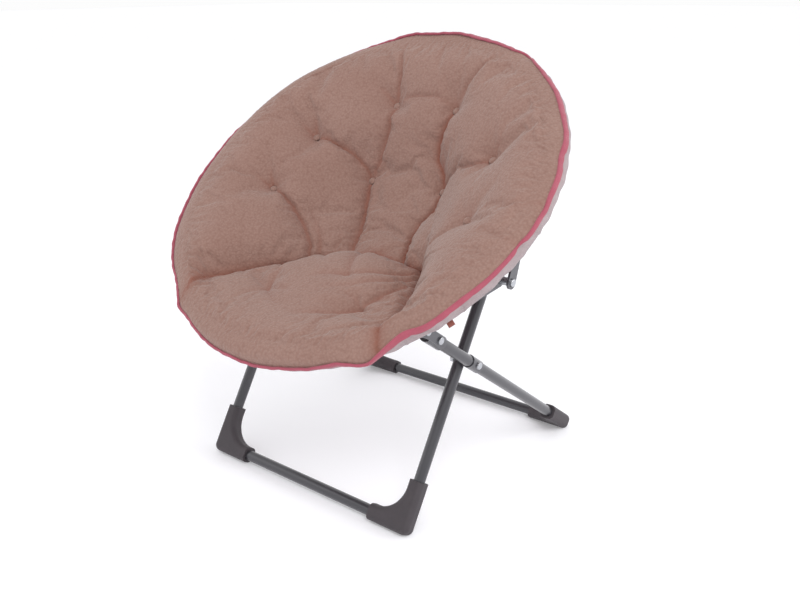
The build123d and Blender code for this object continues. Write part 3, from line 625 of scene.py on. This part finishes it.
def top_height(x, s, turn):
    """Padding's upper face above the hoop's plane, and how close a place is to a fold, which sets the
    painted shade there.

    Back face outside the seat panel and seat face on it, both drawn down to the crease line between
    them, and rounded over the hoop tube to the binding by a quarter ellipse."""
    gap, share, px, ps = nearest(x, s, PANEL_LINE)
    far = np.abs(share - 0.5) * PANEL_LENGTH
    r = np.hypot(x, s)
    sunk = np.interp(far, SINK_AT, SINK_DEPTH) * smooth(r, *SINK_RADII)
    drop = (bowl(np.hypot(px, ps)) - (panel(px, ps) - sunk)) * smooth(r, *DROP_RADII)
    back, back_close = back_face(x, s, turn, gap, drop)
    seat, seat_close = seat_face(x, s, gap, sunk)
    on_seat = in_panel(x, s)
    # Painted shade along the crease between seat and back, fading out towards its ends
    crease_close = np.exp(-gap / CREASE_SHADE) * smooth(far, *CREASE_SHADE_ENDS)
    close = np.maximum(np.where(on_seat, seat_close, back_close), crease_close)
    inner = np.where(on_seat, seat, back)
    inner = inner + np.maximum(OVER_TUBE - inner, 0) * smooth(r, *OVER_TUBE_RADII)
    inner = inner - NICK_DEPTH * np.exp(-gap / NICK_WIDTH) * smooth(r, *NICK_RADII) * (share > 0.5)
    edge, rim = rim_line(turn)
    over = np.clip((r - CREST_R) / (edge - CREST_R), 0, 1)
    return rim + (inner - rim) * np.sqrt(1 - over**2), close


PAD_R = 0.386
UNDER_DROP = 0.156
UNDER_RIM = 0.008
UNDER_RADIUS = (PAD_R**2 + (UNDER_DROP - UNDER_RIM) ** 2) / (2 * (UNDER_DROP - UNDER_RIM))
UNDER_RIPPLE = 0.0010
UNDER_EVEN = 0.04
TUFT_LIFT = 0.007
TUFT_LIFT_WIDTH = 0.03
TUBE_CLEAR = 0.0122
EDGE_LAND = 0.002
EDGE_THICK = 0.0015


def under_height(x, s, turn):
    """Underside: part of a sphere with the tufts' pull showing, then over the tube to the binding."""
    r = np.hypot(x, s)
    low = UNDER_RADIUS - UNDER_DROP - np.sqrt(UNDER_RADIUS**2 - np.minimum(r, PAD_R) ** 2)
    for across, along in TUFTS:
        low = low + TUFT_LIFT * np.exp(-np.hypot(x - across, s - along) / TUFT_LIFT_WIDTH)
    uneven = ripples(x, s, seed=9, count=24, short=0.05, long=0.11)
    low = low + UNDER_RIPPLE * uneven * smooth(r, PAD_R, PAD_R - UNDER_EVEN)
    over_tube = np.sqrt(np.maximum(TUBE_CLEAR**2 - (r - HOOP_R) ** 2, 0))
    edge, rim = rim_line(turn)
    return np.where(r < PAD_R, low, np.where(r < edge - EDGE_LAND, over_tube, rim - EDGE_THICK))


EVEN_R = 0.404
WIDEN_FROM = 0.88
CREASE_V = -1 / 3


def cover_grid(count):
    """Places on the cover and their angles: a square grid wrapped onto the disc by
    x = u sqrt(1 - v2/2) and s = v sqrt(1 - u2/2), widened to the rim line, one row drawn onto the crease."""
    side = np.linspace(-1, 1, count + 1)
    u, v = np.meshgrid(side, side, indexing="ij")
    a = u * np.sqrt(1 - v**2 / 2)
    b = v * np.sqrt(1 - u**2 / 2)
    edge = rim_line(np.arctan2(b, a))[0]
    wide = EVEN_R + (edge - EVEN_R) * smooth(np.hypot(a, b), WIDEN_FROM, 1)
    x = wide * a
    row = EVEN_R * CREASE_V * np.sqrt(1 - u**2 / 2)
    near = np.where(v < CREASE_V, (1 + v) / (1 + CREASE_V), (1 - v) / (1 - CREASE_V))
    s = wide * b + (crease_along(x) - row) * smooth(near, 0, 1) * (1 - u**8)
    return x, s, np.arctan2(s, x)


# Steps along the cover's sides, in the simulation and in the finished piece
SIM_COUNT = 120
FINE_COUNT = 2 * SIM_COUNT
SIM_FRAMES = 20
PUFF_LIMIT = 0.012
HOLD_LEVELS = 10
RIM_HOLD = (0.365, 0.385)
FOLD_HOLD = (0.45, 0.8)
PRESSED_CLOTH = {
    "quality": 5,
    "mass": 0.25,
    "tension_stiffness": 12,
    "compression_stiffness": 12,
    "shear_stiffness": 4,
    "bending_stiffness": 0.6,
    "shrink_min": -0.04,
    "use_pressure": True,
    "uniform_pressure_force": 3.0,
    "vertex_group_mass": "held",
}


def puffed(count):
    """Movement of the upper cloth in a pressure simulation, held at its rim, tufts and folds."""
    x, s, turn = cover_grid(count)
    high, close = top_height(x, s, turn)
    rest = in_row(x, s, high)
    sheet = piece_from("cloth_trial", rest, [quads(count + 1, count + 1)], ())
    hold = np.maximum(smooth(np.hypot(x, s), *RIM_HOLD), smooth(close, *FOLD_HOLD)).ravel()
    group = sheet.vertex_groups.new(name="held")
    levels = np.round(hold * HOLD_LEVELS).astype(int)
    for level in range(1, HOLD_LEVELS + 1):
        group.add(np.flatnonzero(levels == level).tolist(), level / HOLD_LEVELS, "REPLACE")
    cloth = sheet.modifiers.new("cloth", "CLOTH")
    for key, value in PRESSED_CLOTH.items():
        setattr(cloth.settings, key, value)
    cloth.settings.effector_weights.gravity = 0
    cloth.collision_settings.use_collision = False
    for step in range(1, SIM_FRAMES + 1):
        bpy.context.scene.frame_set(step)
    graph = bpy.context.evaluated_depsgraph_get()
    after = np.zeros(rest.size, np.float32)
    sheet.evaluated_get(graph).data.vertices.foreach_get("co", after)
    moved = after.reshape(rest.shape) - rest
    bpy.context.scene.frame_set(1)
    mesh = sheet.data
    bpy.data.objects.remove(sheet)
    bpy.data.meshes.remove(mesh)
    size = np.linalg.norm(moved, axis=-1, keepdims=True)
    return moved * (PUFF_LIMIT * np.tanh(size / PUFF_LIMIT) / np.maximum(size, 1e-9))


def doubled(field):
    """Grid with a middle point put between all neighbours, on a curve through four."""
    for axis in (0, 1):
        f = np.moveaxis(field, axis, 0)
        longer = np.concatenate([2 * f[:1] - f[1:2], f, 2 * f[-1:] - f[-2:-1]])
        out = np.empty((2 * len(f) - 1,) + f.shape[1:])
        out[0::2] = f
        out[1::2] = (9 * (longer[1:-2] + longer[2:-1]) - longer[:-3] - longer[3:]) / 16
        field = np.moveaxis(out, 0, axis)
    return field


def border(rows, columns):
    """Point numbers round a grid's edge, counter-clockwise from above."""
    i = np.arange(rows - 1)
    j = np.arange(columns - 1)
    end = (rows - 1) * columns
    return np.concatenate([i * columns, end + j, end - i * columns + columns - 1, columns - 1 - j])


BUTTON_R = 0.0090
BUTTON_HEIGHT = 0.0062
BUTTON_RAISE = 0.0030


def dome(centre, around=14, up=5):
    """Button: upper half of an ellipsoid, closed below by a cone; points, four-sided faces, triangles."""
    turn = np.linspace(0, 2 * math.pi, around, endpoint=False)
    rise = np.linspace(0, 0.5 * math.pi, up, endpoint=False)
    p, q = np.meshgrid(rise, turn, indexing="ij")
    across = BUTTON_R * np.cos(p) * np.cos(q)
    along = BUTTON_R * np.cos(p) * np.sin(q)
    above = BUTTON_HEIGHT * np.sin(p)
    ring = centre + across[..., None] * ACROSS + along[..., None] * ALONG + above[..., None] * ABOVE
    ends = centre + np.array([[BUTTON_HEIGHT], [-BUTTON_HEIGHT]]) * ABOVE
    band = quads(up, around, wrap_columns=True)[:, ::-1]
    first = np.arange(around)
    last = (up - 1) * around + first
    tip = np.stack([last, np.roll(last, -1), np.full(around, up * around)], -1)
    base = np.stack([np.roll(first, -1), first, np.full(around, up * around + 1)], -1)
    return np.concatenate([ring.reshape(-1, 3), ends]), band, np.concatenate([tip, base])


FLEECE_SIDE = 0
CLOTH_SIDE = 1


def half_cover(name, grids, columns, buttons=()):
    """One half of the padded cover from its columns of the grid: fleece above, plain cloth below,
    closed round its edge, with a button at each of the places given."""
    upper, lower, close, place = (grid[:, columns] for grid in grids)
    rows, cols = upper.shape[:2]
    total = rows * cols
    sheet = quads(rows, cols)
    loop = border(rows, cols)
    after = np.roll(loop, -1)
    wall = np.stack([loop, loop + total, after + total, after], -1)
    faces = [sheet, sheet[:, ::-1] + total, wall]
    sides = [FLEECE_SIDE, CLOTH_SIDE, CLOTH_SIDE]
    points = [upper.reshape(-1, 3), lower.reshape(-1, 3)]
    uv = [place.reshape(-1, 2)] * 2
    # Painted shade of the folds for the fleece; none on the cloth below or on the buttons
    fold = [close.ravel(), np.zeros(total)]
    count = 2 * total
    for centre in buttons:
        more, band, caps = dome(centre)
        faces += [band + count, caps + count]
        sides += [FLEECE_SIDE, FLEECE_SIDE]
        points.append(more)
        uv.append(np.zeros((len(more), 2)))
        fold.append(np.zeros(len(more)))
        count += len(more)
    slots = np.repeat(sides, [len(part) for part in faces])
    made = piece_from(name, np.concatenate(points), faces, (FLEECE, POCKET), np.concatenate(uv), slots,
                      {"fold": np.concatenate(fold)})
    ends = np.zeros(2 * len(made.data.edges), np.int32)
    made.data.edges.foreach_get("vertices", ends)
    on_loop = np.zeros(count, bool)
    on_loop[loop] = True
    on_loop[loop + total] = True
    sharp = on_loop[ends.reshape(-1, 2)].all(axis=1)
    made.data.attributes.new("sharp_edge", "BOOLEAN", "EDGE").data.foreach_set("value", sharp)
    return made


LEAST_FILL = 0.003
FILL_FROM = (1.0, 0.975)
PILE_HEIGHT = 0.0004
# Power that sharpens the painted shade in the folds
FOLD_SHADE_CURVE = 1.4


def covers():
    """Back and seat halves of the cover, puffed by a simulation, parted along the crease."""
    count = FINE_COUNT
    x, s, turn = cover_grid(count)
    high, close = top_height(x, s, turn)
    low = under_height(x, s, turn)
    within = smooth(np.hypot(x, s) / rim_line(turn)[0], *FILL_FROM)
    high = np.maximum(high, low + LEAST_FILL * within)
    pile = PILE_HEIGHT * ripples(x, s, seed=4, count=40, short=0.006, long=0.012)
    upper = in_row(x, s, high + pile)
    upper = upper + doubled(puffed(SIM_COUNT))
    lower = in_row(x, s, low)
    # The third grid is the painted shade in the folds, round the tufts and along the crease
    grids = (upper, lower, close**FOLD_SHADE_CURVE, np.stack([x, s], -1))
    row = round((1 + CREASE_V) / 2 * count)
    buttons = []
    for across, along in TUFTS:
        k = np.argmin(np.hypot(x - across, s - along))
        buttons.append(upper.reshape(-1, 3)[k] + BUTTON_RAISE * ABOVE)
    back = half_cover("back_cover", grids, slice(row, count + 1), buttons)
    seat = half_cover("seat_cover", grids, slice(0, row + 1))
    return back, seat


# Hem pocket, binding and ties

# Where brackets, lugs and hinge arms come through the pocket: angle and width in degrees
OPENINGS = ((51.5, 5.0), (128.5, 5.0), (-42.0, 4.5), (-138.0, 4.5), (-7.0, 4.0), (187.0, 4.0),
            (-27.0, 4.0), (207.0, 4.0))
OPENING_EDGE = (0.2, 0.8)
# Cut of the pocket: once round the hoop, by its turn from the binding to its sewn edge, less the openings
POCKET_AROUND = 900
POCKET_ACROSS = 30
POCKET_ROUND = 0.0136
POCKET_TAPER = 0.10
POCKET_THICK = 0.0010
POCKET_WEAVE = 0.09
# Angles round the tube at which the pocket ends, in general and at the openings
POCKET_END = math.radians(-200)
OPENING_END = math.radians(-25)
# Droop at the front: depth, angle round the hoop and width, angle and width round the tube
DROOP = 0.003
DROOP_SWING = (-80, 34)
DROOP_TURN = -1.2
DROOP_WIDTH = 0.9


def pocket():
    """Hem pocket round the hoop tube: from the binding outwards, down and under, short at the openings.

    A strip carried round the tube, with its distance from the tube's middle eased from the binding's
    to a snug fit, and slack sine waves along it."""
    turn = np.linspace(-math.pi, math.pi, POCKET_AROUND, endpoint=False)
    t, w = np.meshgrid(turn, np.linspace(0, 1, POCKET_ACROSS), indexing="ij")
    out, up = rim_turn(t)
    short = np.clip(sum(swing(t, centre, width) for centre, width in OPENINGS), 0, 1)
    last = POCKET_END + (OPENING_END - POCKET_END) * smooth(short, *OPENING_EDGE)
    angle = up + w * (last - up)
    droop = DROOP * swing(t, *DROOP_SWING) * np.exp(-(((angle - DROOP_TURN) / DROOP_WIDTH) ** 2))
    slack = 0.0010 * np.sin(29 * t + 4 * w) + 0.0008 * np.sin(67 * t + 2 - 3 * w)
    snug = POCKET_ROUND + (out - POCKET_ROUND) * np.exp(-w / POCKET_TAPER)
    girth = snug + droop + slack * np.sin(math.pi * w)
    r = HOOP_R + girth * np.cos(angle)
    points = in_row(r * np.cos(t), r * np.sin(t), girth * np.sin(angle))
    uv = np.stack([t * HOOP_R, w * POCKET_WEAVE], -1)
    grid = quads(POCKET_AROUND, POCKET_ACROSS, wrap_rows=True)
    made = piece_from("hem_pocket", points, [grid], (POCKET,), uv)
    thicken(made, "cloth", POCKET_THICK, -1)
    return made


TAPE_AROUND = 1080
TAPE_SECTION = 14
TAPE_HALF = 0.0074
TAPE_THICK = 0.0030
TAPE_LEAN = math.radians(62)
TAPE_GIRTH = 0.02
# Powers of the section's superellipse, along its width and its thickness
WIDTH_POWER = 0.6
THICK_POWER = 0.8
# Where the tape is narrower and wider: change of half its width, angle round the hoop, width in degrees
TAPE_CHANGES = ((-0.0034, -12, 26), (0.0022, -160, 30))


def binding():
    """Folded tape over the rim's edge: a flat rounded section carried round the rim line.

    The section is a superellipse, half its width by half its thickness, leaning in over the rim."""
    turn = np.linspace(-math.pi, math.pi, TAPE_AROUND, endpoint=False)
    around = np.linspace(0, 2 * math.pi, TAPE_SECTION, endpoint=False)
    t, a = np.meshgrid(turn, around, indexing="ij")
    out, up = rim_turn(t)
    out = out + 0.0004 * np.sin(71 * t) + 0.0003 * np.sin(113 * t + 1)
    lean = up + TAPE_LEAN
    half = TAPE_HALF + sum(change * swing(t, centre, width) for change, centre, width in TAPE_CHANGES)
    flat = half * np.sign(np.cos(a)) * np.abs(np.cos(a)) ** WIDTH_POWER
    thick = TAPE_THICK * np.sign(np.sin(a)) * np.abs(np.sin(a)) ** THICK_POWER
    r = HOOP_R + out * np.cos(up) + flat * np.cos(lean) - thick * np.sin(lean)
    n = out * np.sin(up) + flat * np.sin(lean) + thick * np.cos(lean)
    points = in_row(r * np.cos(t), r * np.sin(t), n)
    uv = np.stack([t * HOOP_R, a / (2 * math.pi) * TAPE_GIRTH], -1)
    grid = quads(TAPE_AROUND, TAPE_SECTION, wrap_rows=True, wrap_columns=True)
    return piece_from("binding", points, [grid], (TAPE,), uv)


TIE_ANGLES = (180 + 34, -34)
TIE_WIDTH = 0.012
TIE_LENGTH = 0.019
TIE_THICK = 0.0016
TIE_TUCK = 0.002
TIE_INSET = 0.004
TIE_CURL = 0.010
TIE_BEND = 2.2
TIE_ROWS = 12
TIE_COLUMNS = 5


def ties():
    """Two cut ends of webbing under the seat's sides: strips hung down, curled out as a sine."""
    t, w = np.meshgrid(np.linspace(0, 1, TIE_ROWS), np.linspace(-0.5, 0.5, TIE_COLUMNS), indexing="ij")
    out = HOOP_R - TIE_INSET + TIE_CURL * np.sin(TIE_BEND * t)
    above = -POCKET_ROUND + TIE_TUCK - TIE_LENGTH * t
    points = []
    for turn in np.radians(TIE_ANGLES):
        across = out * math.cos(turn) - w * TIE_WIDTH * math.sin(turn)
        along = out * math.sin(turn) + w * TIE_WIDTH * math.cos(turn)
        points.append(in_row(across, along, above).reshape(-1, 3))
    grid = quads(TIE_ROWS, TIE_COLUMNS)
    made = piece_from("tie_ends", np.concatenate(points), [grid, grid + TIE_ROWS * TIE_COLUMNS], (TIE,))
    thicken(made, "webbing", TIE_THICK, 0)
    return made


back_cover, seat_cover = covers()
hem = pocket()
rim_tape = binding()
tie_ends = ties()

# Each half of the cover rides its hoop's body, in place of the frame's pads, on a mesh of its own
for cover, body, nodes, flat_at, thin in (
        (back_cover, "back_hoop", ("back_pad", "tuft_buttons"), 0.0205, 0.02),
        (seat_cover, "seat_hoop", ("seat_pad",), 0.0, 0.05)):
    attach(cover, body)
    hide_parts(*nodes)
    hoop_point(0, 0, flat_at)
    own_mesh(cover)

HINGE_START = hoop_point(0, HINGE_ALONG + TUBE_SETBACK, 0)
HINGE_END = hoop_point(0, HINGE_ALONG - TUBE_SETBACK, 0)
SLEEVES = ("back_sleeve_left", "back_sleeve_right", "top_sleeve", "seat_sleeve_left",
           "seat_sleeve_right", "front_sleeve")
for piece, nodes, slot in (
        (hem, SLEEVES, "pocket_cloth"),
        (rim_tape, ("back_binding", "seat_binding"), "binding_tape")):
    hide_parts(*nodes)
    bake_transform(piece)
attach(tie_ends, "seat_hoop")
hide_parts("tie_tabs")

# Floor, lights and camera

FLOOR_HALF = 40


def pale_floor():
    """Matt floor, faintly mottled and a little bright of itself, so that it meets the backdrop."""
    f = Finish("pale_floor")
    dust = f.noise(scale=3.0, detail=4.0)
    colour = f.mix(dust, rgb(235, 235, 239), rgb(241, 241, 245))
    f.set(Base_Color=colour, Roughness=0.9, Specular_IOR_Level=0.1, Emission_Color=rgb(255, 255, 255),
          Emission_Strength=0.16)
    return f.material


sides = np.array([-FLOOR_HALF, FLOOR_HALF])
floor_x, floor_y = np.meshgrid(sides, sides, indexing="ij")
floor_points = np.stack([floor_x, floor_y, 0 * floor_x], -1)
floor = piece_from("floor", floor_points, [quads(2, 2)], (pale_floor(),))


def lamp(name, place, aim, size, power):
    """Soft square light at a place, turned to an aim point."""
    light = bpy.data.lights.new(name, "AREA")
    light.size = size
    light.energy = power
    made = bpy.data.objects.new(name, light)
    back = np.array(place) - np.array(aim)
    back = back / np.linalg.norm(back)
    side = np.cross([0, 0, 1.0], back)
    side = side / np.linalg.norm(side)
    turned = np.stack([side, np.cross(back, side), back], 1)
    made.matrix_world = Matrix.Translation(place) @ Matrix(turned.tolist()).to_4x4()
    bpy.context.scene.collection.objects.link(made)


lamp("key", (2.0, -1.6, 3.0), aim=(0, 0, 0.5), size=1.4, power=42)
lamp("side", (3.0, 1.4, 1.4), aim=(0, 0, 0.4), size=1.4, power=22)
lamp("fill", (-2.6, -1.6, 1.6), aim=(0, 0, 0.5), size=2.2, power=8)
world = bpy.data.worlds.new("studio")
world.use_nodes = True
backdrop = world.node_tree.nodes["Background"]
backdrop.inputs["Color"].default_value = (1, 1, 1, 1)
backdrop.inputs["Strength"].default_value = 0.98
bpy.context.scene.world = world
bpy.context.scene.view_settings.view_transform = "Standard"

CAMERA_PLACE = (1.08584, -1.26739, 0.95157)
YAW = math.radians(38.478)
PITCH = math.radians(20.009)
ROLL = math.radians(0.481)
FOCAL_PX = 862.2
PHOTO_WIDTH = 800
SENSOR_WIDTH = 36
ahead = np.array([-math.sin(YAW) * math.cos(PITCH), math.cos(YAW) * math.cos(PITCH), -math.sin(PITCH)])
level = np.cross(ahead, [0, 0, 1.0])
level = level / np.linalg.norm(level)
down = np.cross(ahead, level)
right = math.cos(ROLL) * level + math.sin(ROLL) * down
up = math.sin(ROLL) * level - math.cos(ROLL) * down
camera_data = bpy.data.cameras.new("camera")
camera_data.sensor_width = SENSOR_WIDTH
camera_data.lens = FOCAL_PX / PHOTO_WIDTH * SENSOR_WIDTH
camera = bpy.data.objects.new("camera", camera_data)
facing = Matrix(np.stack([right, up, -ahead], 1).tolist()).to_4x4()
camera.matrix_world = Matrix.Translation(CAMERA_PLACE) @ facing
bpy.context.scene.collection.objects.link(camera)
bpy.context.scene.camera = camera
